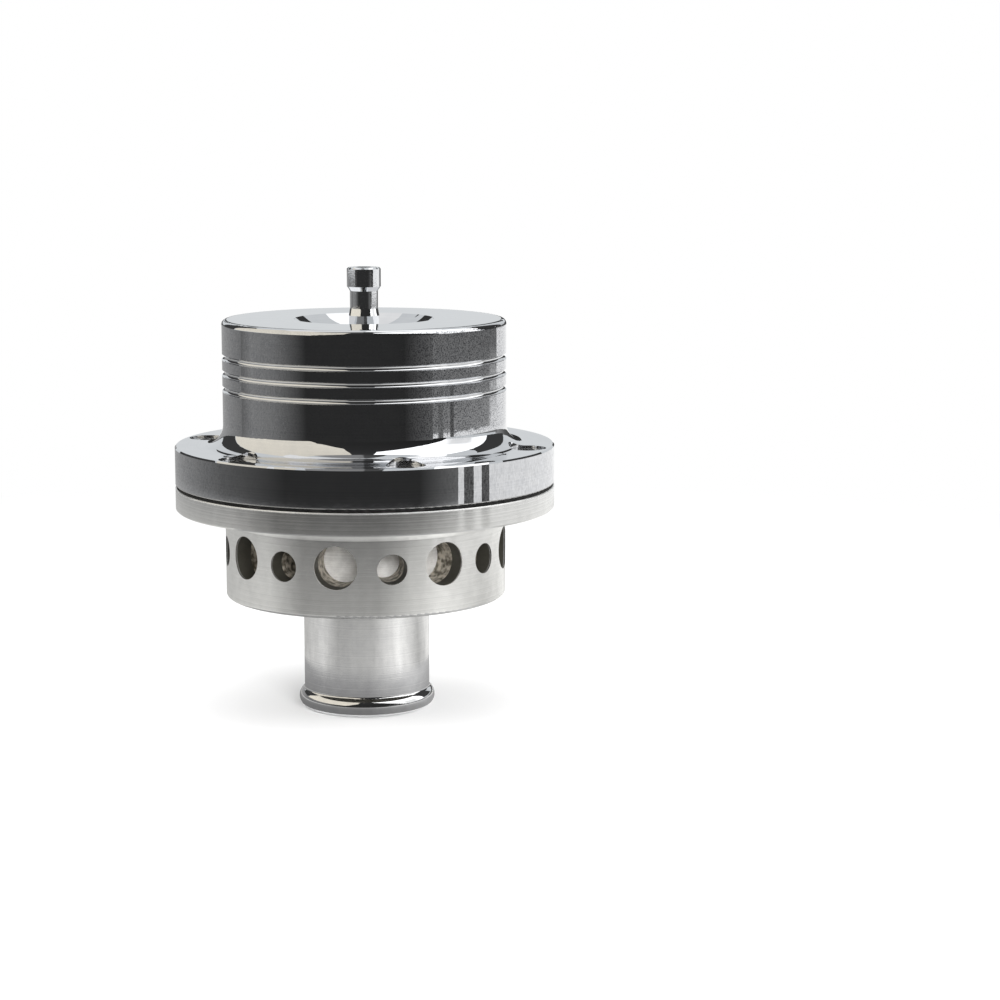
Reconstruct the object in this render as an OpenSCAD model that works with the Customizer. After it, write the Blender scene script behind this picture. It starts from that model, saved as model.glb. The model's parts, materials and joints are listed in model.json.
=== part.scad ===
// Vacuum operated blow off valve with a screwed diaphragm housing and a ring of vent holes.
// Millimetres. The axis is Z, and the end face of the inlet stub lies at Z = 0.

/* [Inlet stub] */
// Outside diameter of the hose stub
stub_d = 25; // [23.5:0.5:30]
// Free length of the stub, from its end face to the drum
stub_len = 22.9; // [16:0.1:40]
// Diameter of the stub's bore
stub_bore_d = 20.8; // [20.2:0.2:21.6]
// Depth of the stub's full bore, before it narrows to the throat
stub_bore_depth = 18; // [10:0.5:19]
// Diameter of the throat under the valve seat
throat_d = 19.6; // [18:0.2:20]
// Diameter over the rolled bead
bead_d = 27.1; // [26.6:0.1:28]
// Height of the rolled bead
bead_h = 4.2; // [3.2:0.1:6]
// Radius of the fillet above the bead
bead_fillet = 0.6; // [0.3:0.1:1]
// Diameter of the spigot that screws into the floor of the drum
spigot_d = 23; // [22:0.2:23.2]
// Chamfer at the stub's upper end, under the drum
stub_chamfer = 0.35; // [0.1:0.05:0.6]
// Height of the valve seat above the drum's floor
seat_h = 0.8; // [0.4:0.1:2]

/* [Lower body] */
// Diameter of both flanges
flange_d = 75; // [73.6:0.2:90]
// Thickness of the lower flange
lower_flange_t = 4.45; // [4:0.05:8]
// Diameter of the drum
drum_d = 55.6; // [54:0.2:57]
// Height of the drum, from its underside to the lower flange
drum_h = 17.5; // [17:0.1:24]
// Thickness of the drum's wall
drum_wall = 3.4; // [2.6:0.1:4]
// Thickness of the drum's floor
floor_t = 4; // [3:0.1:4.6]
// Radius of the fillet between drum and lower flange
drum_fillet = 2.5; // [1:0.1:3]
// Radius of the drum's lower edge
drum_round = 0.7; // [0.3:0.1:2]

/* [Vents] */
// Number of large vents, with one small vent between each two
vent_pairs = 8; // [4:1:8]
// Diameter of a large vent
vent_large_d = 8.4; // [6:0.1:8.6]
// Diameter of a small vent
vent_small_d = 5.9; // [3:0.1:6.1]
// How far the small vents lie below the large ones
vent_drop = 0.35; // [0:0.05:0.6]
// Height of the lowest large vent's edge above the closed piston's rim
vent_cover = 0.5; // [0.2:0.1:1]

/* [Upper housing] */
// Diameter of the cap
cap_d = 56; // [55:0.2:57.4]
// Height of the cap above the flange
cap_h = 24.7; // [22:0.1:40]
// Thickness of the cap's wall
cap_wall = 3; // [2:0.1:4]
// Thickness of the cap's roof
roof_t = 6.5; // [6:0.1:9]
// Thickness of the upper flange
upper_flange_t = 7.55; // [7:0.05:12]
// Radius of the fillet between cap and flange
cap_fillet = 4; // [2:0.1:5]
// Radius of the cap's top edge
cap_round = 1; // [0.4:0.1:2]
// Diameter of the dish in the top
dish_d = 27.6; // [20:0.2:34]
// Depth of the dish
dish_depth = 4.3; // [2.5:0.1:4.6]
// Diameter of the flat at the bottom of the dish
dish_flat_d = 11; // [10.4:0.2:15]
// Number of grooves round the cap
groove_count = 3; // [1:1:4]
// Distance from one groove to the next
groove_pitch = 3.1; // [2:0.1:4]
// Distance from the top of the cap to the first groove
groove_drop = 7.2; // [4:0.1:8]
// Width of a groove
groove_w = 1.2; // [0.6:0.1:1.6]
// Depth of a groove
groove_depth = 0.6; // [0.3:0.1:1]
// Chamfer on the outer edges of both flanges
flange_chamfer = 0.3; // [0.1:0.05:0.6]
// Radius of the flanges' edges on both sides of the seam
seam_round = 0.2; // [0.1:0.05:0.4]

/* [Flange screws] */
// Number of flange screws
screw_count = 6; // [3:1:8]
// How far the screws lie outside the middle of the flange's land round the cap
screw_shift = 0.25; // [0:0.05:0.4]
// Direction of the first screw, in degrees from +X
screw_start = 55.4; // [0:0.1:119]
// Thread diameter of a flange screw
screw_d = 4; // [3:0.5:4]
// Head diameter of a flange screw
screw_head_d = 7; // [6:0.1:7.2]
// Head height of a flange screw
screw_head_h = 4; // [3:0.1:4.5]
// Length of a flange screw under its head
screw_len = 8; // [6:0.1:8]
// Width across the flats of the screw's socket
socket_w = 3; // [2:0.1:3.5]
// Depth of the screw's socket
socket_depth = 2; // [1:0.1:2.5]
// Depth of the screw head's top below the flange
screw_sink = 0.4; // [0:0.1:1]

/* [Diaphragm and piston] */
// Thickness of the rubber diaphragm
diaphragm_t = 0.6; // [0.4:0.05:1]
// Set-back of the diaphragm's edge from the flanges' edge
diaphragm_inset = 0.2; // [0:0.05:0.6]
// Spare length of the diaphragm's loop over the straight distance that it spans at full lift
loop_spare = 1.4; // [0.5:0.1:2.2]
// Diameter of the piston
piston_d = 38.9; // [38.6:0.1:40]
// Lift of the piston at full vacuum, which the diaphragm's loop allows
piston_lift = 8; // [5:0.1:9]
// Thickness of the piston's web
piston_web_t = 3.5; // [2:0.1:5]
// Thickness of the piston's skirt
piston_skirt_t = 2.4; // [1.5:0.1:4]
// Step from the support plate's edge to the piston's neck below it
neck_step = 1.5; // [0.8:0.1:3]
// Radius of the fillets inside the piston and the cap
inner_fillet = 1; // [0.4:0.1:1.6]
// Diameter of the post in the middle of the piston
post_d = 10; // [8:0.2:14]
// Diameter of the diaphragm's support plate
plate_d = 37.2; // [35:0.2:37.6]
// Thickness of the diaphragm's support plate
plate_t = 2; // [1.2:0.1:3]
// Radius of the support plate's upper edge
plate_round = 0.8; // [0.3:0.1:1]
// Diameter of the rubber face seal
seal_d = 28.8; // [26:0.2:31]
// Thickness of the rubber face seal
seal_t = 2; // [1.4:0.1:3]
// How far the face seal stands below the piston's rim
seal_proud = 0.2; // [0:0.05:0.5]
// Diameter of the seal's retainer
retainer_d = 16.4; // [12:0.2:17.4]
// Thickness of the seal's retainer
retainer_t = 1; // [0.6:0.1:2]

/* [Spring and centre bolt] */
// Wire diameter of the spring
wire_d = 2; // [1.2:0.1:2.2]
// Mean diameter of the spring's coils
coil_d = 25; // [24.4:0.2:27]
// Height of the boss that centres the spring under the roof
boss_h = 3.5; // [2:0.1:6]
// Number of turns of the spring
coil_turns = 6.5; // [4:0.5:7]
// Outside diameter of the spring cup
cup_d = 33; // [31.6:0.2:36]
// Height of the spring cup's rim
cup_h = 4.7; // [3:0.1:8]
// Sheet thickness of the spring cup
cup_t = 1.2; // [0.8:0.1:1.6]
// Thread diameter of the centre bolt
bolt_d = 5; // [4:0.5:6]
// Width across the flats of the bolt head and the nut
hex_w = 8; // [7:0.5:10]
// Height of the bolt's head
bolt_head_h = 3.5; // [2:0.1:4]
// Height of the nut
nut_h = 5; // [3:0.1:6]
// How far the bolt stands out of the nut
bolt_proud = 0.8; // [0.2:0.1:2]
// Diameter of the washer under the nut
washer_d = 10; // [9.6:0.2:14]
// Thickness of the washer under the nut
washer_t = 1.2; // [0.6:0.1:2]

/* [Vacuum nipple] */
// Height of the nipple above the top of the cap
nipple_rise = 10.05; // [8:0.05:20]
// Diameter of the nipple's head
nipple_head_d = 6.65; // [6:0.05:8]
// Height of the nipple's head
nipple_head_h = 3.75; // [2:0.05:4]
// Height of the taper under the head
nipple_taper_h = 0.85; // [0.5:0.05:1.6]
// Diameter of the nipple's tube
nipple_tube_d = 5.5; // [4.6:0.1:5.8]
// Diameter of the thicker foot of the tube
nipple_foot_d = 6; // [5.8:0.1:7]
// Height of the thicker foot above the top of the cap
nipple_foot_h = 0.6; // [0.2:0.1:1.6]
// Height of the slim taper from the foot to the tube
nipple_flare_h = 1.4; // [0.3:0.1:1.6]
// Diameter of the hole through the nipple
nipple_bore_d = 3; // [1.5:0.1:3.4]
// Width across the flats of the nipple's hexagon
nipple_hex_w = 8; // [7.6:0.1:9]
// Height of the nipple's hexagon
nipple_hex_h = 1.5; // [1:0.1:2]
// Thread diameter of the nipple
nipple_thread_d = 6; // [5:0.5:6]
// Thickness of the nipple's sealing washer
nipple_seal_t = 0.8; // [0.5:0.1:1.2]

/* [Fits] */
// Radial running clearance between the piston and its sleeve
running_clearance = 0.05; // [0.02:0.01:0.1]
// Radial clearance of a thread, a spigot or a sleeve in its hole
thread_clearance = 0.05; // [0.02:0.01:0.1]
// Radial clearance of a screw or a seal in a plain hole
hole_clearance = 0.2; // [0.1:0.05:0.3]
// Gap between the closed face seal and the valve seat
seat_gap = 0.1; // [0.05:0.05:0.3]
// Free room between the diaphragm's loop and what it hangs between
loop_clearance = 0.3; // [0.2:0.05:0.4]
// Radial room between the spring and the boss that centres it
spring_clearance = 0.7; // [0.3:0.1:1.2]

/* [Hidden] */
$fn = 96;
// Overlap of a cutting shape past the face that it cuts
over = 1;

// Heights up the fixed parts
drum_z = stub_len;
floor_z = drum_z + floor_t;
seat_z = floor_z + seat_h;
flange_z = drum_z + drum_h;
seam_z = flange_z + lower_flange_t;
upper_z = seam_z + diaphragm_t;
flange_top_z = upper_z + upper_flange_t;
top_z = flange_top_z + cap_h;
roof_z = top_z - roof_t;
dish_z = top_z - dish_depth;

// Heights up the moving stack, with the valve closed
seal_z = seat_z + seat_gap;
rim_z = seal_z + seal_proud;
web_z = seal_z + seal_t;
plate_z = seam_z - plate_t;
cup_z = upper_z;
cup_floor_z = cup_z + cup_t;
nut_z = cup_floor_z + washer_t;
bolt_end_z = nut_z + nut_h + bolt_proud;
retainer_z = seal_z - retainer_t;

// Circle of the flange screws, on the land between the cap and the flanges' edge
screw_circle_d = (flange_d + cap_d) / 2 + 2 * screw_shift;

// Radii that follow from the fits
drum_bore_r = drum_d / 2 - drum_wall;
sleeve_r = drum_bore_r - thread_clearance;
sleeve_bore_r = piston_d / 2 + running_clearance;
loop_out_r = drum_bore_r - loop_clearance;
loop_in_r = plate_d / 2 + loop_clearance;
loop_mid_r = (loop_out_r + loop_in_r) / 2;
loop_half = (loop_out_r - loop_in_r) / 2;
// The loop is a half round on two legs, long enough to reach across at full lift
loop_bend_r = loop_half - diaphragm_t / 2;
loop_len = loop_spare + sqrt(pow(piston_lift, 2) + pow(2 * loop_bend_r, 2));
loop_leg = max(loop_len - PI * loop_bend_r, 0) / 2;
loop_z = seam_z + diaphragm_t / 2 - loop_leg;
loop_low_z = loop_z - loop_half;
sleeve_top_z = loop_low_z - 2 * loop_clearance;
neck_r = plate_d / 2 - neck_step;
cap_bore_r = cap_d / 2 - cap_wall;
cavity_r = neck_r - piston_skirt_t;
boss_r = (coil_d - wire_d) / 2 - spring_clearance;
boss_z = roof_z - boss_h;
vent_z = rim_z + vent_cover + vent_large_d / 2;
counterbore_r = screw_head_d / 2 + hole_clearance;
counterbore_z = flange_top_z - screw_sink - screw_head_h;

// Corner between two straight lines and a quarter round at (x, y). The signs sx and sy give
// the side of the corner on which the round lies. Added it fills, and taken off it rounds.
module corner(x, y, radius, sx, sy) {
  difference() {
    translate([x + sx * radius / 2 - sx * over / 4, y + sy * radius / 2 - sy * over / 4])
      square(radius + over / 2, center = true);
    translate([x + sx * radius, y + sy * radius])
      circle(radius);
  }
}

// Triangle that takes an edge of size c off at (x, y), with the material on the side sx, sy
module bevel(x, y, c, sx, sy) {
  polygon([[x - sx * over, y - sy * over], [x + sx * (c + over), y - sy * over],
    [x - sx * over, y + sy * (c + over)]]);
}

// Rectangle in the half plane of a revolve, from radius r0 to r1 and from height z0 to z1
module band(r0, r1, z0, z1) {
  translate([r0, z0])
    square([r1 - r0, z1 - z0]);
}

// Round bar along Z from z0 to z1
module bar(radius, z0, z1) {
  translate([0, 0, z0])
    cylinder(r = radius, h = z1 - z0);
}

// Hexagonal bar along Z from z0 to z1, w across the flats
module hex_bar(w, z0, z1) {
  translate([0, 0, z0])
    cylinder(d = w / cos(30), h = z1 - z0, $fn = 6);
}

// Copies of a shape on the circle of the flange screws
module on_screw_circle() {
  for (i = [0 : screw_count - 1])
    rotate([0, 0, screw_start + i * 360 / screw_count])
      translate([screw_circle_d / 2, 0, 0])
        children();
}

// Radial drillings of all vents, large and small in turn
module vent_drillings() {
  for (i = [0 : 2 * vent_pairs - 1])
    rotate([0, 0, i * 180 / vent_pairs])
      translate([sleeve_bore_r / 2, 0, (i % 2 == 0) ? vent_z : vent_z - vent_drop])
        rotate([0, 90, 0])
          cylinder(d = (i % 2 == 0) ? vent_large_d : vent_small_d, h = drum_d);
}

// Polished cap and upper flange, turned in one piece
module upper_housing() {
  flange_r = flange_d / 2;
  cap_r = cap_d / 2;
  dish_r = dish_d / 2;
  flat_r = dish_flat_d / 2;
  // Sphere of the bowl through the dish's rim and the edge of its flat
  bowl_c = (dish_r * dish_r - flat_r * flat_r + dish_depth * dish_depth) / (2 * dish_depth);
  bowl_r = sqrt(dish_r * dish_r + pow(bowl_c - dish_depth, 2));
  color([0.72, 0.73, 0.75])
  difference() {
    rotate_extrude()
    difference() {
      union() {
        band(0, flange_r, upper_z, flange_top_z);
        band(0, cap_r, flange_top_z - over, top_z);
        corner(cap_r, flange_top_z, cap_fillet, 1, 1);
      }
      corner(cap_r, top_z, cap_round, -1, -1);
      bevel(flange_r, flange_top_z, flange_chamfer, -1, -1);
      corner(flange_r, upper_z, seam_round, -1, 1);
      for (i = [0 : groove_count - 1])
        translate([cap_r, top_z - groove_drop - i * groove_pitch])
          groove();
      difference() {
        band(0, cap_bore_r, upper_z - over, roof_z);
        band(0, boss_r, boss_z, roof_z + over);
        corner(cap_bore_r, roof_z, inner_fillet, -1, -1);
      }
      band(0, flat_r, dish_z, top_z + over);
      intersection() {
        translate([0, dish_z + bowl_c])
          circle(bowl_r);
        band(0, dish_r, dish_z, top_z + over);
      }
      band(0, nipple_thread_d / 2 + thread_clearance, boss_z - over, top_z);
    }
    on_screw_circle() {
      bar(counterbore_r, counterbore_z, flange_top_z + cap_fillet + over);
      bar(screw_d / 2 + hole_clearance, upper_z - over, counterbore_z + over);
    }
  }
}

// Section of one groove: a round bottom as deep as the groove, with straight flanks
module groove() {
  radius = groove_w / 2;
  translate([radius - groove_depth, 0])
    circle(radius);
  translate([radius - groove_depth, -radius])
    square([over, groove_w]);
}

// Chromed nipple for the vacuum hose
module vacuum_nipple() {
  head_r = nipple_head_d / 2;
  tube_r = nipple_tube_d / 2;
  foot_r = nipple_foot_d / 2;
  nipple_z = top_z + nipple_rise;
  hex_z = dish_z + nipple_seal_t;
  foot_z = top_z + nipple_foot_h;
  head_z = nipple_z - nipple_head_h;
  edge = 0.3;
  color([0.80, 0.81, 0.82])
  difference() {
    union() {
      rotate_extrude()
        polygon([[0, boss_z], [nipple_thread_d / 2, boss_z], [nipple_thread_d / 2, hex_z],
          [foot_r, hex_z], [foot_r, foot_z], [tube_r, foot_z + nipple_flare_h],
          [tube_r, head_z - nipple_taper_h], [head_r, head_z], [head_r, nipple_z - edge],
          [head_r - edge, nipple_z], [0, nipple_z]]);
      hex_bar(nipple_hex_w, hex_z, hex_z + nipple_hex_h);
    }
    bar(nipple_bore_d / 2, boss_z - over, nipple_z + over);
  }
}

// Sealing washer between the nipple's hexagon and the flat of the dish
module nipple_seal() {
  color([0.16, 0.16, 0.16])
  difference() {
    bar(nipple_hex_w / 2, dish_z, dish_z + nipple_seal_t);
    bar(nipple_thread_d / 2 + hole_clearance, dish_z - over, dish_z + nipple_seal_t + over);
  }
}

// One socket head cap screw, standing on its axis
module flange_screw() {
  head_top = counterbore_z + screw_head_h;
  difference() {
    union() {
      bar(screw_head_d / 2, counterbore_z, head_top);
      bar(screw_d / 2, counterbore_z - screw_len, counterbore_z + over);
    }
    hex_bar(socket_w, head_top - socket_depth, head_top + over);
  }
}

// All flange screws
module flange_screws() {
  color([0.70, 0.70, 0.71])
  on_screw_circle()
    flange_screw();
}

// Rubber diaphragm, with a loop that hangs between the support plate and the drum
module diaphragm() {
  loop_in = loop_half - diaphragm_t;
  color([0.06, 0.06, 0.06])
  difference() {
    rotate_extrude()
    union() {
      band(bolt_d / 2 + hole_clearance, loop_in_r + diaphragm_t, seam_z, upper_z);
      band(loop_out_r - diaphragm_t, flange_d / 2 - diaphragm_inset, seam_z, upper_z);
      band(loop_in_r, loop_in_r + diaphragm_t, loop_z, upper_z);
      band(loop_out_r - diaphragm_t, loop_out_r, loop_z, upper_z);
      intersection() {
        translate([loop_mid_r, loop_z])
        difference() {
          circle(loop_half);
          circle(loop_in);
        }
        band(loop_in_r - over, loop_out_r + over, loop_low_z - over, loop_z);
      }
    }
    on_screw_circle()
      bar(screw_d / 2 + hole_clearance, seam_z - over, upper_z + over);
  }
}

// Height of the spring's wire centre after t turns: one close turn at each end
function coil_height(t) =
  let (end_pitch = wire_d * 1.1,
    low = cup_floor_z + wire_d * 0.3,
    high = roof_z - wire_d * 0.3,
    mid_pitch = (high - low - 2 * end_pitch) / (coil_turns - 2))
  t < 1 ? low + t * end_pitch
  : t > coil_turns - 1 ? high - (coil_turns - t) * end_pitch
  : low + end_pitch + (t - 1) * mid_pitch;

// Compression spring with ground ends: a round wire swept along the coil, cut flat at both seats
module spring() {
  steps = 24;
  sides = 10;
  rings = round(coil_turns * steps);
  points = [for (i = [0 : rings], j = [0 : sides - 1])
    let (turn = 360 * i / steps,
      side = 360 * j / sides,
      reach = coil_d / 2 + wire_d / 2 * cos(side),
      z = coil_height(i / steps) + wire_d / 2 * sin(side))
    [reach * cos(turn), reach * sin(turn), min(max(z, cup_floor_z), roof_z)]];
  walls = [for (i = [0 : rings - 1], j = [0 : sides - 1])
    let (k = (j + 1) % sides)
    [i * sides + j, (i + 1) * sides + j, (i + 1) * sides + k, i * sides + k]];
  first_cap = [for (j = [0 : sides - 1]) j];
  last_cap = [for (j = [0 : sides - 1]) rings * sides + sides - 1 - j];
  color([0.35, 0.36, 0.38])
    polyhedron(points, concat(walls, [first_cap, last_cap]), convexity = 10);
}

// Pressed cup that centres the spring on the diaphragm
module spring_cup() {
  color([0.62, 0.63, 0.65])
  rotate_extrude()
  difference() {
    band(bolt_d / 2 + hole_clearance, cup_d / 2, cup_z, cup_z + cup_h);
    corner(cup_d / 2, cup_z, cup_t, -1, 1);
    band(0, cup_d / 2 - cup_t, cup_floor_z, cup_z + cup_h + over);
  }
}

// Nut on top of the moving stack
module lock_nut() {
  color([0.66, 0.66, 0.67])
  difference() {
    hex_bar(hex_w, nut_z, nut_z + nut_h);
    bar(bolt_d / 2 + thread_clearance, nut_z - over, nut_z + nut_h + over);
  }
}

// Washer under the nut
module lock_washer() {
  color([0.66, 0.66, 0.67])
  difference() {
    bar(washer_d / 2, cup_floor_z, nut_z);
    bar(bolt_d / 2 + hole_clearance, cup_floor_z - over, nut_z + over);
  }
}

// Disc that carries the diaphragm on the piston
module support_plate() {
  color([0.64, 0.65, 0.66])
  rotate_extrude()
  difference() {
    band(bolt_d / 2 + hole_clearance, plate_d / 2, plate_z, seam_z);
    corner(plate_d / 2, seam_z, plate_round, -1, -1);
  }
}

// Turned piston: a skirt that covers the vents, a web over the seat and a post for the bolt
module piston() {
  piston_r = piston_d / 2;
  edge = 0.4;
  color([0.70, 0.69, 0.67])
  rotate_extrude()
  difference() {
    union() {
      band(0, piston_r, rim_z, sleeve_top_z);
      band(0, neck_r, sleeve_top_z - over, plate_z);
    }
    bevel(piston_r, rim_z, edge, -1, 1);
    bevel(piston_r, sleeve_top_z, edge, -1, -1);
    band(0, seal_d / 2 + hole_clearance, rim_z - over, web_z);
    difference() {
      band(post_d / 2, cavity_r, web_z + piston_web_t, plate_z + over);
      corner(cavity_r, web_z + piston_web_t, inner_fillet, -1, 1);
      corner(post_d / 2, web_z + piston_web_t, inner_fillet, 1, 1);
    }
    band(0, bolt_d / 2 + hole_clearance, rim_z - over, plate_z + over);
  }
}

// Rubber disc that closes on the valve seat
module face_seal() {
  color([0.10, 0.10, 0.10])
  difference() {
    bar(seal_d / 2, seal_z, web_z);
    bar(bolt_d / 2 + hole_clearance, seal_z - over, web_z + over);
  }
}

// Steel disc that holds the face seal
module seal_retainer() {
  color([0.62, 0.63, 0.65])
  rotate_extrude()
  difference() {
    band(bolt_d / 2 + hole_clearance, retainer_d / 2, retainer_z, seal_z);
    bevel(retainer_d / 2, retainer_z, retainer_t / 3, -1, 1);
  }
}

// Bolt through the whole moving stack, head down in the inlet
module centre_bolt() {
  edge = 0.5;
  color([0.66, 0.66, 0.67]) {
    hex_bar(hex_w, retainer_z - bolt_head_h, retainer_z);
    rotate_extrude()
    difference() {
      band(0, bolt_d / 2, retainer_z - bolt_head_h / 2, bolt_end_z);
      bevel(bolt_d / 2, bolt_end_z, edge, -1, -1);
    }
  }
}

// Guide sleeve of the piston, pressed into the drum and drilled with it
module guide_sleeve() {
  color([0.52, 0.44, 0.36])
  difference() {
    rotate_extrude()
      band(sleeve_bore_r, sleeve_r, floor_z, sleeve_top_z);
    vent_drillings();
  }
}

// Satin lower flange and drum, turned in one piece
module lower_body() {
  flange_r = flange_d / 2;
  drum_r = drum_d / 2;
  color([0.77, 0.77, 0.76])
  difference() {
    rotate_extrude()
    difference() {
      union() {
        band(0, flange_r, flange_z, seam_z);
        band(0, drum_r, drum_z, flange_z + over);
        corner(drum_r, flange_z, drum_fillet, 1, -1);
      }
      corner(drum_r, drum_z, drum_round, -1, 1);
      bevel(flange_r, flange_z, flange_chamfer, -1, 1);
      corner(flange_r, seam_z, seam_round, -1, -1);
      band(0, drum_bore_r, floor_z, seam_z + over);
      band(0, spigot_d / 2 + thread_clearance, drum_z - over, floor_z + over);
    }
    vent_drillings();
    on_screw_circle()
      bar(screw_d / 2 + thread_clearance, flange_z - over, seam_z + over);
  }
}

// Hose stub with a rolled bead, screwed into the drum's floor, its upper end the valve seat
module inlet_stub() {
  stub_r = stub_d / 2;
  bore_r = stub_bore_d / 2;
  throat_r = throat_d / 2;
  bead_r = bead_h / 2;
  bead_mid_r = bead_d / 2 - bead_r;
  lead_in = 0.4;
  // Centre of the fillet circle that touches the bead and the stub's wall
  fillet_r = stub_r + bead_fillet;
  fillet_z = bead_r + sqrt(pow(bead_r + bead_fillet, 2) - pow(fillet_r - bead_mid_r, 2));
  color([0.80, 0.80, 0.81])
  rotate_extrude()
  difference() {
    union() {
      band(bead_mid_r - bead_r, bead_mid_r, 0, bead_h);
      translate([bead_mid_r, bead_r])
        circle(bead_r);
      band(throat_r, stub_r, bead_r, drum_z);
      band(throat_r, spigot_d / 2, drum_z - over, seat_z);
      difference() {
        polygon([[bead_mid_r, bead_r], [fillet_r, fillet_z], [bead_mid_r, fillet_z]]);
        translate([fillet_r, fillet_z])
          circle(bead_fillet);
      }
    }
    band(0, bore_r, -over, stub_bore_depth);
    polygon([[0, stub_bore_depth - over], [bore_r, stub_bore_depth - over], [bore_r, stub_bore_depth],
      [throat_r, stub_bore_depth + 2 * (bore_r - throat_r)], [0, stub_bore_depth + 2 * (bore_r - throat_r)]]);
    band(0, throat_r, -over, seat_z + over);
    bevel(bore_r, 0, lead_in, 1, 1);
    difference() {
      bevel(stub_r, drum_z, stub_chamfer, -1, -1);
      band(0, spigot_d / 2, drum_z - over, drum_z + 2 * over);
    }
    corner(spigot_d / 2, seat_z, seat_h / 2, -1, -1);
    corner(throat_r, seat_z, seat_h / 2, 1, -1);
  }
}

upper_housing();
vacuum_nipple();
nipple_seal();
flange_screws();
diaphragm();
spring();
spring_cup();
lock_nut();
lock_washer();
support_plate();
piston();
face_seal();
seal_retainer();
centre_bolt();
guide_sleeve();
lower_body();
inlet_stub();
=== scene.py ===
import json
import math

import bmesh
import bpy
import numpy as np
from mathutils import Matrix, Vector


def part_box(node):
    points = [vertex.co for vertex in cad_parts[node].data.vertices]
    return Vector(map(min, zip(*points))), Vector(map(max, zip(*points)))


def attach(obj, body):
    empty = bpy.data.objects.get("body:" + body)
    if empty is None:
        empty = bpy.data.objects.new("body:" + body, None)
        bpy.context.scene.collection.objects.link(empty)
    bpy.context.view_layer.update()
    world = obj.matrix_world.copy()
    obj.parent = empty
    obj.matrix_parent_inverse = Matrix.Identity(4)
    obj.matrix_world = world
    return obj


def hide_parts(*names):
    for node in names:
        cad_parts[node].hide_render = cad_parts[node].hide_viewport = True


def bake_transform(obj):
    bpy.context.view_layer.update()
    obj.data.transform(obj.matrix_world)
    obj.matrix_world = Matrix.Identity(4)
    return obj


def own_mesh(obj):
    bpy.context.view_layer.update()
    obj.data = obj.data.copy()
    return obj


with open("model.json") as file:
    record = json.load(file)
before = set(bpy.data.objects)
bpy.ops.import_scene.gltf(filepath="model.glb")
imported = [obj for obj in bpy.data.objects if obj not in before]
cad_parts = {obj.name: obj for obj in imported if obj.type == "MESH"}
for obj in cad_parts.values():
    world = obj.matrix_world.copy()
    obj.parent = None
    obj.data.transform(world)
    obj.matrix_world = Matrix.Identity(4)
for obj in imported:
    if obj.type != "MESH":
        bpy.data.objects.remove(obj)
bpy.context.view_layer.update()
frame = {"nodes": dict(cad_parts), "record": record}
nodes = frame["nodes"]
mm = 0.001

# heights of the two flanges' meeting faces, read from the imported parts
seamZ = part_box("lower_body")[1].z
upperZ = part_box("upper_housing")[0].z


# camera: where the photographer stood, as seen from the valve's axis
cameraSet = {
    "azimuth": 12.2,        # degrees to the right of the -Y side
    "distance": 495.5 * mm,
    "height": 119.1 * mm,
    "yaw": 3.094,           # degrees turned right of the axis
    "pitch": 8.915,         # degrees looking down
    "lens": 90.57,
}


def addCamera(spec):
    heading = math.radians(spec["azimuth"])
    facing = heading - math.radians(spec["yaw"])
    pitch = math.radians(spec["pitch"])
    data = bpy.data.cameras.new("camera")
    data.sensor_width = 36
    data.lens = spec["lens"]
    data.clip_start = 0.01
    camera = bpy.data.objects.new("camera", data)
    camera.location = (spec["distance"] * math.sin(heading),
                       -spec["distance"] * math.cos(heading), spec["height"])
    forward = Vector((-math.sin(facing) * math.cos(pitch),
                      math.cos(facing) * math.cos(pitch), -math.sin(pitch)))
    camera.rotation_euler = forward.to_track_quat("-Z", "Y").to_euler()
    bpy.context.scene.collection.objects.link(camera)
    bpy.context.scene.camera = camera


addCamera(cameraSet)
print("camera placed")


# one output socket of a shader tree; arithmetic on it adds Math nodes
class Wire:
    def __init__(self, tree, socket=None):
        self.tree = tree
        self.socket = socket

    def node(self, kind, settings=None, sockets=None, out=0):
        made = self.tree.nodes.new("ShaderNode" + kind)
        for key, value in (settings or {}).items():
            setattr(made, key, value)
        for key, value in (sockets or {}).items():
            if isinstance(value, Wire):
                self.tree.links.new(value.socket, made.inputs[key])
            else:
                made.inputs[key].default_value = value
        return Wire(self.tree, made.outputs[out])

    def math(self, operation, *values):
        return self.node("Math", {"operation": operation}, dict(enumerate((self,) + values)))

    def __add__(self, other):
        return self.math("ADD", other)

    __radd__ = __add__

    def __mul__(self, other):
        return self.math("MULTIPLY", other)

    def __sub__(self, other):
        return self.math("SUBTRACT", other)

    def __rsub__(self, other):
        return self * -1 + other

    def __pow__(self, other):
        return self.math("POWER", other)

    # 0 below low, 1 above high, smooth between
    def step(self, low, high):
        return self.node("MapRange", {"interpolation_type": "SMOOTHSTEP"},
                         {"Value": self, "From Min": low, "From Max": high})

    # colour a where the mask is 0, colour b where it is 1
    def mix(self, a, b):
        return self.node("Mix", {"data_type": "RGBA"}, {0: self, 6: colour(a), 7: colour(b)}, out=2)


def colour(value):
    return value if isinstance(value, Wire) else (*value, 1)


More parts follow.
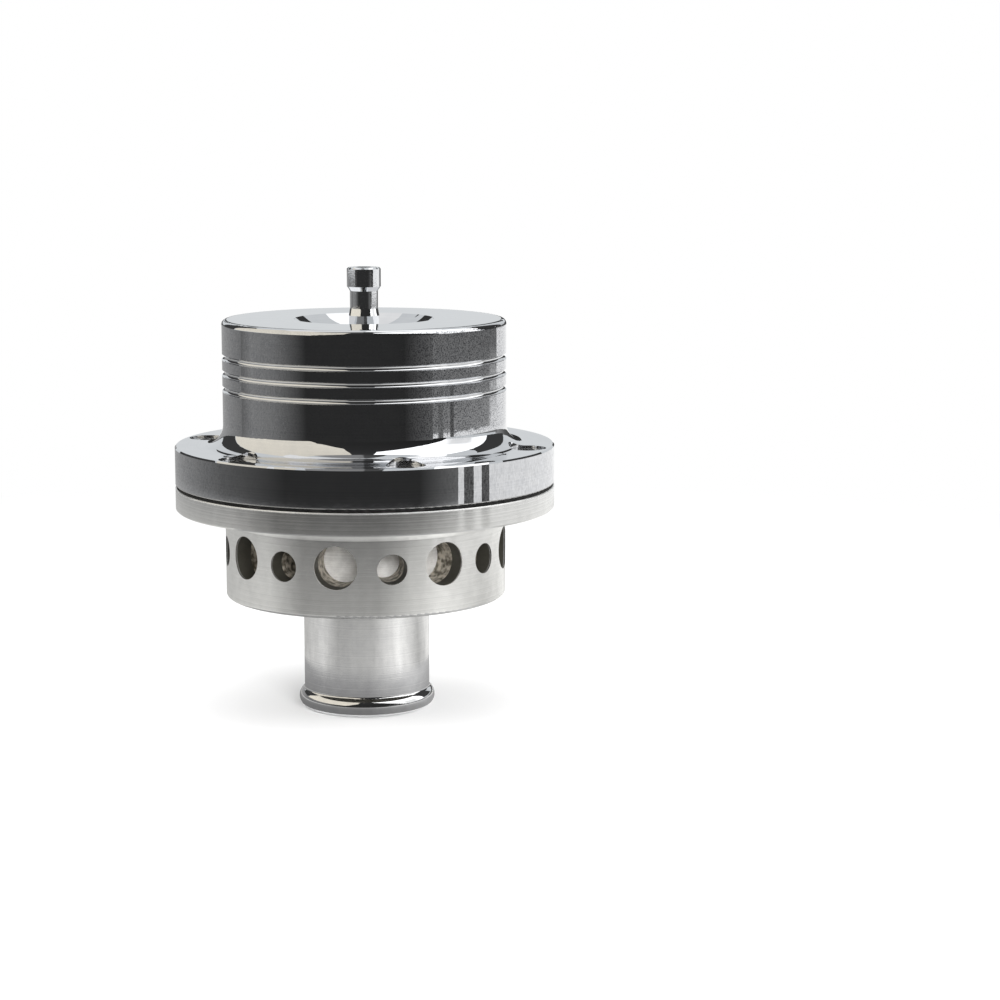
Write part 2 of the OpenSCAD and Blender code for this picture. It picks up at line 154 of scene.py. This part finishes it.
# the places on a part, in millimetres: its point, across, height and distance from the axis
class Place:
    def __init__(self, tree):
        self.start = Wire(tree)
        coords = self.start.node("TexCoord", out=3)
        self.point = self.start.node("VectorMath", {"operation": "SCALE"},
                                     {0: coords, "Scale": 1 / mm})
        x, y, z = [self.start.node("SeparateXYZ", None, {0: self.point}, out=i) for i in range(3)]
        self.x, self.z = x, z
        self.radius = (x * x + y * y) ** 0.5

    def noise(self, scale, detail=2.0, rough=0.5, stretch=(1, 1, 1)):
        point = self.point
        if stretch != (1, 1, 1):
            point = self.start.node("Mapping", None, {"Vector": point, "Scale": stretch})
        return self.start.node("TexNoise", None, {"Vector": point, "Scale": scale, "Detail": detail,
                                                  "Roughness": rough})

    # rings left by a lathe tool: a one-dimensional noise over radius + height
    def rings(self, perMillimetre, detail=3.0):
        return self.start.node("TexNoise", {"noise_dimensions": "1D"},
                               {"W": self.radius + self.z, "Scale": perMillimetre, "Detail": detail,
                                "Roughness": 0.6})


# a material with one Principled shader: fixed numbers go on its own sockets, the rest are linked
def finish(name, build, **fixed):
    material = bpy.data.materials.new(name)
    material.use_nodes = True
    tree = material.node_tree
    shader = next(n for n in tree.nodes if n.type == "BSDF_PRINCIPLED")
    for key, value in fixed.items():
        shader.inputs[key.replace("_", " ")].default_value = value
    for key, wire in build(Place(tree)).items():
        tree.links.new(wire.socket, shader.inputs[key])
    return material


# relief of the given depth in millimetres
def bump(height, depth):
    return height.node("Bump", None, {"Height": height, "Distance": depth * mm, "Strength": 1.0})


# places on the cap, in millimetres
capSet = {
    "dullShadedEdge": (0.15, 0.35),       # heights over the seam between which the dull edge and its painted shade end
    "flecksFrom": (56, 58),           # heights between which the dark flecks begin
    "flecksFace": (27.75, 27.9),      # radii that tell the side from its grooves
    "flecksRight": (11, 17),          # x between which the dark flecks thicken
    "flecksLeft": 0.15,               # share of it that lies on the rest
}


# mirror polish: a little waviness, faint wheel marks round the axis, fine grain and haze in patches;
# dark flecks on the cap's side, most of them to the right; the broken edge at the seam is dull, its
# colour darkened as painted shade along the seam
def polishedCap(at):
    patches = at.noise(0.35, 4)
    wheel = at.rings(2.2)
    grain = at.noise(2.4, 2)
    shade = (patches * 0.5 + wheel * 0.5).step(0.3, 0.7)
    edge = 1 - at.z.step(*[upperZ / mm + height for height in capSet["dullShadedEdge"]])
    right = capSet["flecksLeft"] + at.x.step(*capSet["flecksRight"]) * (1 - capSet["flecksLeft"])
    side = at.z.step(*capSet["flecksFrom"]) * at.radius.step(*capSet["flecksFace"]) * right
    # dark flecks: a darker colour in noise spots over the cap's side, thicker to the right
    darkFlecks = at.noise(4.5, 1).step(0.4, 0.7) * side
    metal = darkFlecks.mix(shade.mix((0.69, 0.70, 0.72), (0.77, 0.775, 0.785)), (0.18, 0.185, 0.20))
    return {
        # painted shade: the edge's colour is darker along the seam between the flanges
        "Base Color": edge.mix(metal, (0.55, 0.55, 0.55)),
        "Roughness": 0.012 + patches.step(0.45, 0.8) * 0.03 + edge * 0.4,
        "Normal": bump(patches + wheel * 0.06 + grain * 0.05, 0.004),
    }


# bright plating with tiny pits
def chromed(at):
    fine = at.noise(4.0, 2)
    return {
        "Base Color": at.noise(1.2, 3).mix((0.78, 0.79, 0.81), (0.86, 0.87, 0.88)),
        "Roughness": 0.03 + fine * 0.05,
        "Normal": bump(fine, 0.006),
    }


# places on the drum, in millimetres
drumSet = {
    "radius": 27.8,
    "skin": (0.45, 0.1),        # depths under that radius between which the painted-dark inside ends
    "brokenEdge": (0.4, 0.2),   # depths under the seam between which the broken edge begins
}


# satin turning outside: fine rings of the tool over soft patches; the broken edge at the seam is rougher
def turnedDrum(at):
    tool = at.rings(3.5, 3)
    edge = at.z.step(*[seamZ / mm - depth for depth in drumSet["brokenEdge"]])
    patches = at.noise(0.5, 4)
    turned = (tool * 0.55 + patches * 0.45).step(0.25, 0.75).mix((0.74, 0.74, 0.73),
                                                                 (0.88, 0.88, 0.87))
    # walls of the drillings and the bore stay rough as the drill left them; their colour is painted near
    # black as shade inside the holes
    outside = at.radius.step(*[drumSet["radius"] - depth for depth in drumSet["skin"]])
    return {
        "Base Color": outside.mix((0.055, 0.052, 0.042), turned),
        "Metallic": 0.3 + outside * 0.7 - outside * edge * 0.15,
        "Roughness": 0.5 - outside * 0.39 + patches * 0.06 + tool * 0.04 + edge * 0.2,
        "Normal": bump(tool, 0.002),
    }


beadTop = (4.4, 5.2)    # heights in millimetres between which the bead's polish ends


# the stub is turned finely and its bead is polished
def turnedStub(at):
    tool = at.rings(4.0, 5)
    patches = at.noise(0.6, 4)
    plain = at.z.step(*beadTop)
    return {
        "Base Color": (tool * 0.5 + patches * 0.5).step(0.25, 0.75).mix((0.72, 0.72, 0.73),
                                                                       (0.86, 0.86, 0.86)),
        "Roughness": 0.04 + plain * 0.05 + patches * 0.05,
        "Normal": bump(tool * (0.2 + plain * 0.8), 0.005),
    }


# matte grey piston, blotched by oil
def mattePiston(at):
    tool = at.rings(3.0, 4)
    patches = at.noise(0.6, 4, 0.6)
    return {
        "Base Color": (tool * 0.35 + patches * 0.65).step(0.3, 0.7).mix((0.66, 0.65, 0.63),
                                                                       (0.90, 0.89, 0.87)),
        "Roughness": 0.5 + patches * 0.2,
        "Normal": bump(tool, 0.008),
    }


# bearing bronze with brown stains
def bronzeSleeve(at):
    tool = at.rings(3.0, 3)
    stain = at.noise(0.9, 4)
    return {
        "Base Color": stain.step(0.35, 0.65).mix((0.08, 0.07, 0.05), (0.55, 0.5, 0.42)),
        "Roughness": 0.4 + stain * 0.2,
        "Normal": bump(tool, 0.006),
    }


# zinc plate on turned steel
def platedSteel(at):
    grain = at.noise(5.0, 3)
    patches = at.noise(0.9, 3)
    return {
        "Base Color": patches.mix((0.56, 0.56, 0.57), (0.76, 0.76, 0.76)),
        "Roughness": 0.16 + grain * 0.14,
        "Normal": bump(grain, 0.005),
    }


# drawn wire with an oiled skin
def springWire(at):
    drawn = at.noise(3.0, 3, 0.6)
    return {
        "Base Color": drawn.mix((0.24, 0.25, 0.27), (0.40, 0.41, 0.43)),
        "Roughness": 0.28 + drawn * 0.15,
        "Normal": bump(drawn, 0.004),
    }


# black rubber with a faint grey bloom
def blackRubber(at):
    grain = at.noise(5.0, 3)
    bloom = at.noise(0.7, 4).step(0.45, 0.75)
    return {
        "Base Color": bloom.mix((0.005, 0.005, 0.005), (0.016, 0.015, 0.015)),
        "Roughness": 0.5 + grain * 0.25,
        "Normal": bump(grain, 0.01),
    }


finishes = {
    "polished_aluminium": finish("polishedCap", polishedCap, Metallic=1.0),
    "chrome": finish("chromed", chromed, Metallic=1.0),
    "rubber": finish("blackRubber", blackRubber, Specular_IOR_Level=0.2),
    "screw_steel": finish("screwSteel", platedSteel, Metallic=1.0),
    "spring_steel": finish("springWire", springWire, Metallic=1.0),
    "plated_steel": finish("platedSteel", platedSteel, Metallic=1.0),
    "piston_aluminium": finish("mattePiston", mattePiston, Metallic=0.3),
    "sleeve_bronze": finish("bronzeSleeve", bronzeSleeve, Metallic=0.3),
    "turned_aluminium": finish("turnedDrum", turnedDrum, Anisotropic=0.6,
                               Anisotropic_Rotation=0.25),
    "stub_aluminium": finish("turnedStub", turnedStub, Metallic=1.0, Anisotropic=0.5,
                             Anisotropic_Rotation=0.25),
}
for part in frame["record"]["subparts"]:
    nodes[part["node"]].data.materials[0] = finishes[part["material_slot"]]
print("finishes set: %d" % len(finishes))


# one smooth mesh from grids of points, rows by columns, that may close on themselves
def gridMesh(name, grids, wrapRows=False, wrapColumns=False, caps=False):
    points, faces, first = [], [], 0
    for grid in grids:
        rows, columns = grid.shape[:2]
        r = np.arange(rows if wrapRows else rows - 1)[:, None]
        c = np.arange(columns if wrapColumns else columns - 1)[None, :]
        r1, c1 = (r + 1) % rows, (c + 1) % columns
        quads = np.stack([r * columns + c, r * columns + c1, r1 * columns + c1, r1 * columns + c], -1)
        faces += (first + quads.reshape(-1, 4)).tolist()
        if caps:
            faces += [list(range(first, first + columns)),
                      list(range(first + (rows - 1) * columns, first + rows * columns))]
        points.append(grid.reshape(-1, 3))
        first += rows * columns
    mesh = bpy.data.meshes.new(name)
    mesh.from_pydata(np.concatenate(points).tolist(), [], faces)
    mesh.polygons.foreach_set("use_smooth", np.ones(len(mesh.polygons), bool))
    shape = bmesh.new()
    shape.from_mesh(mesh)
    bmesh.ops.recalc_face_normals(shape, faces=shape.faces)
    shape.to_mesh(mesh)
    shape.free()
    piece = bpy.data.objects.new(name, mesh)
    bpy.context.scene.collection.objects.link(piece)
    return piece


# spring: a round wire along a helix, with one close turn and a ground flat at each end
springSet = {
    "wire": 2.0 * mm,
    "turns": 6.5,
    "closePitch": 1.1,     # pitch of the end turns, in wire diameters
    "endDrop": 0.3,        # height of the wire's centre over its seat, in wire diameters
    "stepsPerTurn": 64,
    "sides": 20,
}


def addSpring(spec):
    low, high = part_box("spring")
    wire = spec["wire"]
    turns = spec["turns"]
    t = np.linspace(0, turns, int(turns * spec["stepsPerTurn"]) + 1)
    end = wire * spec["closePitch"]
    bottom = low.z + wire * spec["endDrop"]
    top = high.z - wire * spec["endDrop"]
    # height against turns: straight lines through the ends of the two close turns
    height = np.interp(t, [0, 1, turns - 1, turns], [bottom, bottom + end, top - end, top])
    side = np.linspace(0, 2 * np.pi, spec["sides"], endpoint=False)
    reach = high.x - wire / 2 + wire / 2 * np.cos(side)[None, :]
    turn = 2 * np.pi * t[:, None]
    z = np.clip(height[:, None] + wire / 2 * np.sin(side)[None, :], low.z, high.z)
    points = np.stack([reach * np.cos(turn), reach * np.sin(turn), z], axis=-1)
    piece = gridMesh("springCoil", [points], wrapColumns=True, caps=True)
    piece.data.materials.append(finishes["spring_steel"])
    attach(piece, "housing")
    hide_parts("spring")
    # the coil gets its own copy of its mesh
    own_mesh(piece)


addSpring(springSet)
print("spring wound")


# diaphragm: a rubber sheet with a loop that rolls as the piston lifts
diaphragmSet = {
    "loopIn": 18.9 * mm,        # the loop's inner and outer radius
    "loopOut": 24.1 * mm,
    "corner": 0.5 * mm,         # radius where the sheet turns down into the loop
    "boltHole": 2.7 * mm,
    "rimFrom": 25.5 * mm,       # radius from which the rim lies flat between the flanges
    "screwCircle": 33.0 * mm,
    "screwHole": 2.2 * mm,
    "screwStart": 55.4,         # degrees from +X
    "screwCount": 6,
    "steps": 144,               # round the axis
    "tileSteps": 96,            # round each screw hole
}


# points of a round stretch of a section, degrees from the outward direction
def arc(radius, height, bend, begin, end, steps=10):
    a = np.radians(np.linspace(begin, end, steps))
    return np.stack([radius + bend * np.cos(a), height + bend * np.sin(a)], axis=1)


# section line of (radius, height) thickened by half to both sides, then carried round the axis
def turnedSheet(line, thick, steps):
    run = np.gradient(line, axis=0)
    run /= np.linalg.norm(run, axis=1, keepdims=True)
    side = np.stack([-run[:, 1], run[:, 0]], axis=1) * thick / 2
    section = np.concatenate([line + side, (line - side)[::-1]])
    turn = np.linspace(0, 2 * np.pi, steps, endpoint=False)[:, None]
    return np.stack([section[:, 0] * np.cos(turn), section[:, 0] * np.sin(turn),
                     section[:, 1] + 0 * turn], axis=-1)


# one tile of the flat rim round each screw hole: in every direction from the hole's centre the
# sheet runs from the hole's edge to the nearest of the rim's two circles and the tile's two sides
def rimTiles(spec, inner, outer, low, high):
    middle = spec["screwCircle"]
    half = np.pi / spec["screwCount"]
    corner = np.array([(r * np.cos(half) - middle, r * np.sin(half)) for r in (inner, outer)])
    toCorner = np.arctan2(corner[:, 1], corner[:, 0])
    v = np.linspace(-np.pi, np.pi, spec["tileSteps"], endpoint=False)
    v = np.sort(np.concatenate([v, toCorner, -toCorner]))
    along = middle * np.cos(v)
    reach = -along + np.sqrt(along ** 2 - middle ** 2 + outer ** 2)
    gap = along ** 2 - middle ** 2 + inner ** 2
    meets = (gap > 0) & (along < 0)
    reach = np.where(meets, np.minimum(reach, -along - np.sqrt(np.where(meets, gap, 0))), reach)
    leastLean = 1e-9
    for lean in (np.sin(v - half), -np.sin(v + half)):
        side = middle * np.sin(half) / np.maximum(lean, leastLean)
        reach = np.minimum(reach, side)
    hole = np.full_like(reach, spec["screwHole"])
    out = np.stack([hole, reach, reach, hole], axis=1)
    x, y = middle + out * np.cos(v)[:, None], out * np.sin(v)[:, None]
    z = np.array([high, high, low, low]) + 0 * x
    tiles = []
    for i in range(spec["screwCount"]):
        a = np.radians(spec["screwStart"]) + 2 * half * i
        tiles.append(np.stack([x * np.cos(a) - y * np.sin(a), x * np.sin(a) + y * np.cos(a), z], -1))
    return tiles


def addDiaphragm(spec):
    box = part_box("diaphragm")
    low, high = seamZ, upperZ
    thick = high - low
    middle = (spec["loopIn"] + spec["loopOut"]) / 2
    bend = (spec["loopOut"] - spec["loopIn"] - thick) / 2
    loopZ = box[0].z + bend + thick / 2
    sheetZ = (low + high) / 2
    corner = spec["corner"]
    legIn, legOut = middle - bend, middle + bend
    turnZ = sheetZ - corner
    across = np.linspace(spec["boltHole"], legIn - corner, 12)
    centre = np.concatenate([np.stack([across, sheetZ + 0 * across], axis=1)[:-1],
                             arc(legIn - corner, turnZ, corner, 90, 0),
                             arc(middle, loopZ, bend, 180, 270)])
    across = np.linspace(legOut + corner, spec["rimFrom"], 4)
    loop = np.concatenate([arc(middle, loopZ, bend, 270, 360),
                           arc(legOut + corner, turnZ, corner, 180, 90),
                           np.stack([across, sheetZ + 0 * across], axis=1)[1:]])
    rim = gridMesh("diaphragmRim", [turnedSheet(loop, thick, spec["steps"])]
                   + rimTiles(spec, spec["rimFrom"], box[1].x, low, high), True, True)
    disc = gridMesh("diaphragmCentre", [turnedSheet(centre, thick, spec["steps"])], True, True)
    for piece in (rim, disc):
        piece.data.materials.append(finishes["rubber"])
        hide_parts("diaphragm")
    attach(rim, "housing")
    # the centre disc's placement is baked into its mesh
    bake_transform(disc)


addDiaphragm(diaphragmSet)
print("diaphragm laid")


# stage: floor, cards that the polish mirrors, soft lamps and the white room
stageSet = {
    "floorSize": 3.0,
    "floorColour": (0.95, 0.95, 0.95),
    "whiteFrom": (130, 300),    # millimetres from the axis over which the floor turns pure white
    "roomLight": 0.85,          # strength of the white room on matt surfaces
    "roomShine": 0.75,          # and in what the metal mirrors
    "roomTint": (0.95, 0.98, 1.0),
    "speckle": (0.15, (1, 1, 32)),  # scale of the cards' speckle and its stretch along x, y and z
    "speckleFrom": (0.05, 0.14),    # tones between which the speckle comes in
    "speckleGain": 3,
    "leastGlow": 0.1,               # what the speckle leaves of a tone where it is darkest
    "cardSteps": (4, 33),           # a card's steps to a degree, and its rows
}

# cards that only the metal sees. Each has edges, as (radius, height) of its lower and upper edge
# in millimetres, and tones: degrees round from the camera, then the tone at each distance from
# the lower edge that the card names under at. A speckle may differ between those distances too.
# Where a card's lower edge slants, rise gives its height at some of those degrees
cards = {
    "surround": {
        "edges": ((275, 0), (275, 70)),
        "at": (1, 9),
        "tones": ((-165, 0.5, 0.4), (-90, 0.5, 0.12), (-45, 0.2, 0.03), (30, 0.2, 0.03),
                  (53, 0.7, 0.15)),
        "speckle": (0.1, 0.4),
    },
    "leftPane": {
        "edges": ((270, 20), (270, 70)),
        "tones": ((-112, 0.15, 0.15), (-98, 0.25, 0.25), (-75, 0.2, 0.2), (-45, 0.03, 0.03)),
        "speckle": 0.4,
    },
    "rightRoom": {
        "edges": ((470, 0), (470, 45)),
        "at": (3, 31),
        "tones": ((53, 0.25, 0.2), (116, 0.4, 0.2), (121, 0.95, 0.2), (131, 0.95, 0.2)),
        "speckle": (0.3, 0.6),
    },
    "frontFloor": {
        "edges": ((48, 0.3), (275, 0.3)),
        "tones": ((-180, 0.4, 0.5), (-80, 0.8, 0.6), (-50, 0.5, 0.2), (10, 0.6, 0.2),
                  (58, 1.2, 0.8), (100, 0.5, 0.9), (142, 1.0, 1.0), (180, 0.4, 0.5)),
        "tint": (1.0, 0.995, 0.972),
        "speckle": 0.2,
    },
    "rightFloor": {
        "edges": ((275, 0.3), (430, 0.3)),
        "tones": ((53, 0.8, 0.8), (180, 1.0, 1.0)),
        "speckle": 0.2,
    },
    "underFloor": {
        "edges": ((13, 0.3), (48, 0.3)),
        "tones": ((-180, 0.2, 0.4), (0, 0.2, 0.4), (75, 0.4, 0.8), (180, 0.2, 0.4)),
    },
    "frontWall": {
        "edges": ((520, 40), (520, 1300)),
        "tones": ((-62, 0.03, 0.05), (66, 0.02, 0.04)),
    },
    "ceiling": {
        "edges": ((275, 650), (20, 650)),
        "tones": ((-75, 0.3, 0.3), (-4, 0.25, 0.25), (0, 0.06, 0.1), (30, 0.06, 0.1)),
    },
    "leftBox": {
        "edges": ((500, 82), (500, 1200)),
        "rise": ((-43, 82), (-31, 175), (-17, 374)),
        "tones": ((-124, 0.92, 0.8), (-17, 0.9, 0.8)),
        "tint": (1.0, 0.94, 0.82),
        "speckle": 0.3,
    },
    "rightBox": {
        "edges": ((500, 82), (500, 1200)),
        "rise": ((11, 647), (45, 274), (65, 82)),
        "at": (0, 150, 240),
        "tones": ((11, 1.8, 1.8, 1.8), (62, 1.8, 1.8, 1.8), (72, 1.0, 1.0, 1.8), (90, 1.0, 1.0, 1.8),
                  (100, 1.8, 1.8, 1.8), (112, 1.8, 1.8, 1.8)),
    },
    "leftWall": {
        "edges": ((420, 70), (420, 430)),
        "tones": ((-150, 0.05, 0.05), (-124, 0.05, 0.05)),
    },
    "rightWall": {
        "edges": ((420, 70), (420, 430)),
        "tones": ((112, 0.05, 0.05), (142, 0.05, 0.05)),
    },
    "leftRoof": {
        "edges": ((30, 700), (420, 700)),
        "tones": ((-178, 0.95, 0.95), (-95, 0.95, 0.95)),
    },
    "rightRoof": {
        "edges": ((30, 700), (420, 700)),
        "tones": ((95, 1.4, 1.4), (178, 1.4, 1.4)),
    },
    "leftDoor": {
        "edges": ((142, 96), (142, 160)),
        "tones": ((-173, 0.04, 0.04), (-155, 0.04, 0.04)),
    },
    "rightDoor": {
        "edges": ((142, 96), (142, 160)),
        "tones": ((155, 0.04, 0.04), (173, 0.04, 0.04)),
    },
    "backWall": {
        "edges": ((900, 0), (900, 124)),
        "tones": ((128, 0.35, 0.35), (150, 0.12, 0.10), (172, 0.03, 0.03), (190, 0.03, 0.03),
                  (212, 0.12, 0.10), (232, 0.35, 0.35)),
    },
    "nearPost": {"edges": ((300, 0), (300, 16)), "tones": ((57, 0.11, 0.11), (63.5, 0.11, 0.11)),
                 "speckle": 2.0},
    "farPost": {"edges": ((300, 0), (300, 16)), "tones": ((69, 0.11, 0.11), (74.6, 0.11, 0.11)),
                "speckle": 2.0},
    "nearPole": {"edges": ((300, 16), (300, 36)), "tones": ((58, 0.20, 0.20), (62.5, 0.20, 0.20)),
                 "speckle": 1.0},
    "farPole": {"edges": ((300, 16), (300, 36)), "tones": ((69, 0.13, 0.13), (72.5, 0.13, 0.13)),
                "speckle": 1.0},
}

# soft lamps, each at a distance, degrees round from the camera, height, size and power
lamps = {
    "softLeft": (0.60, -80, 0.45, (0.4, 0.3), 1.3),
    "softRight": (0.60, 80, 0.45, (0.4, 0.3), 1.5),
    "softTop": (0.05, 180, 0.90, (0.7, 0.7), 1.8),
    "softFront": (0.62, 12, 0.22, (0.3, 0.2), 3.6),
}


def stageMaterial(name, build):
    material = bpy.data.materials.new(name)
    material.use_nodes = True
    tree = material.node_tree
    tree.nodes.clear()
    end = tree.nodes.new("ShaderNodeOutputMaterial")
    tree.links.new(build(Place(tree)).socket, end.inputs["Surface"])
    return material


# angle round the axis, counted from the camera, positive to its right
def roundFromCamera(degrees):
    return np.radians(degrees + cameraSet["azimuth"] - 90)


# glowing card paint: the tone kept on the mesh, with a speckle as strong as its alpha
def cardPaint(at):
    scale, stretch = stageSet["speckle"]
    tone, amount = [at.start.node("Attribute", {"attribute_name": "tone"}, out=name)
                    for name in ("Color", "Alpha")]
    strength = 1 + (at.noise(scale, 1, 0.6, stretch) - 0.5) * amount * stageSet["speckleGain"]
    strength = strength.math("MAXIMUM", stageSet["leastGlow"])
    return at.start.node("Emission", None, {"Color": tone, "Strength": strength})


# card: straight lines from a lower to an upper ring, over the degrees that its tones span
def addCard(name, spec, paint):
    table = np.array(spec["tones"])
    degrees = table[:, 0]
    (r0, z0), (r1, z1) = spec["edges"]
    length = math.hypot(r1 - r0, z1 - z0)
    at = spec.get("at", (0, length))
    perDegree, rows = stageSet["cardSteps"]
    turn = np.linspace(degrees[0], degrees[-1], perDegree * int(degrees[-1] - degrees[0]) + 1)
    up = np.linspace(0, 1, rows)
    low = np.interp(turn, *np.array(spec.get("rise", ((0, z0),))).T)[:, None]
    radius, height = (r0 + (r1 - r0) * up) * mm, (low + (z1 - low) * up) * mm
    angle = roundFromCamera(turn)[:, None]
    points = np.stack([radius * np.cos(angle), radius * np.sin(angle), height], axis=-1)
    rings = np.stack([np.interp(turn, degrees, column) for column in table[:, 1:].T], axis=1)
    # how much of each named ring's tone counts at each distance up the card
    share = np.stack([np.interp(up * length, at, ring) for ring in np.eye(len(at))])
    shade = np.ones((turn.size, up.size, 4))
    shade[..., :3] = (rings @ share)[..., None] * spec.get("tint", (1, 1, 1))
    dim, bright = stageSet["speckleFrom"]
    shade[..., 3] = np.broadcast_to(spec.get("speckle", 0), len(at)) @ share
    shade[..., 3] *= np.clip((rings @ share - dim) / (bright - dim), 0, 1)
    card = gridMesh(name, [points])
    held = card.data.attributes.new("tone", "FLOAT_COLOR", "POINT")
    held.data.foreach_set("color", shade.ravel())
    card.data.materials.append(paint)
    card.visible_camera = False
    card.visible_diffuse = False
    card.visible_shadow = False
    card.visible_transmission = False


# lamp: a soft box turned to the middle of the valve; the metal mirrors the cards, not the lamps
def addLamp(name, distance, degrees, height, size, power):
    data = bpy.data.lights.new(name, "AREA")
    data.shape = "RECTANGLE"
    data.size, data.size_y = size
    data.energy = power
    lamp = bpy.data.objects.new(name, data)
    angle = roundFromCamera(degrees)
    lamp.location = (distance * math.cos(angle), distance * math.sin(angle), height)
    aim = Vector((0, 0, seamZ)) - lamp.location
    lamp.rotation_euler = aim.to_track_quat("-Z", "Y").to_euler()
    lamp.visible_glossy = False
    bpy.context.scene.collection.objects.link(lamp)


def addFloor(spec):
    half = spec["floorSize"] / 2
    line = np.linspace(-half, half, 9)
    x, y = np.meshgrid(line, line, indexing="xy")
    floor = gridMesh("floor", [np.stack([x, y, 0 * x], axis=-1)])

    def paint(at):
        white = at.start.node("BsdfDiffuse", None, {"Color": (*spec["floorColour"], 1)})
        glow = at.start.node("Emission", None, {"Color": (1, 1, 1, 1), "Strength": 1.0})
        far = at.radius.step(*spec["whiteFrom"])
        return at.start.node("MixShader", None, {0: far, 1: white, 2: glow})

    floor.data.materials.append(stageMaterial("floorPaper", paint))


def addRoom(spec):
    world = bpy.data.worlds.new("room")
    bpy.context.scene.world = world
    world.use_nodes = True
    tree = world.node_tree
    background = next(n for n in tree.nodes if n.type == "BACKGROUND")
    start = Wire(tree)
    seen, shine, through = [start.node("LightPath", out=name) for name in
                            ("Is Camera Ray", "Is Glossy Ray", "Is Transmission Ray")]
    shown = seen.math("MAXIMUM", through)
    strength = (spec["roomLight"] + shown * (1 - spec["roomLight"])
                + shine * (spec["roomShine"] - spec["roomLight"]))
    tree.links.new(shine.mix((1, 1, 1), spec["roomTint"]).socket, background.inputs["Color"])
    tree.links.new(strength.socket, background.inputs["Strength"])


addFloor(stageSet)
addRoom(stageSet)
cardGlow = stageMaterial("cardGlow", cardPaint)
for name, spec in cards.items():
    addCard(name, spec, cardGlow)
for name, spec in lamps.items():
    addLamp(name, *spec)
bpy.context.scene.view_settings.view_transform = "Standard"
print("stage lit")

bpy.context.view_layer.update()
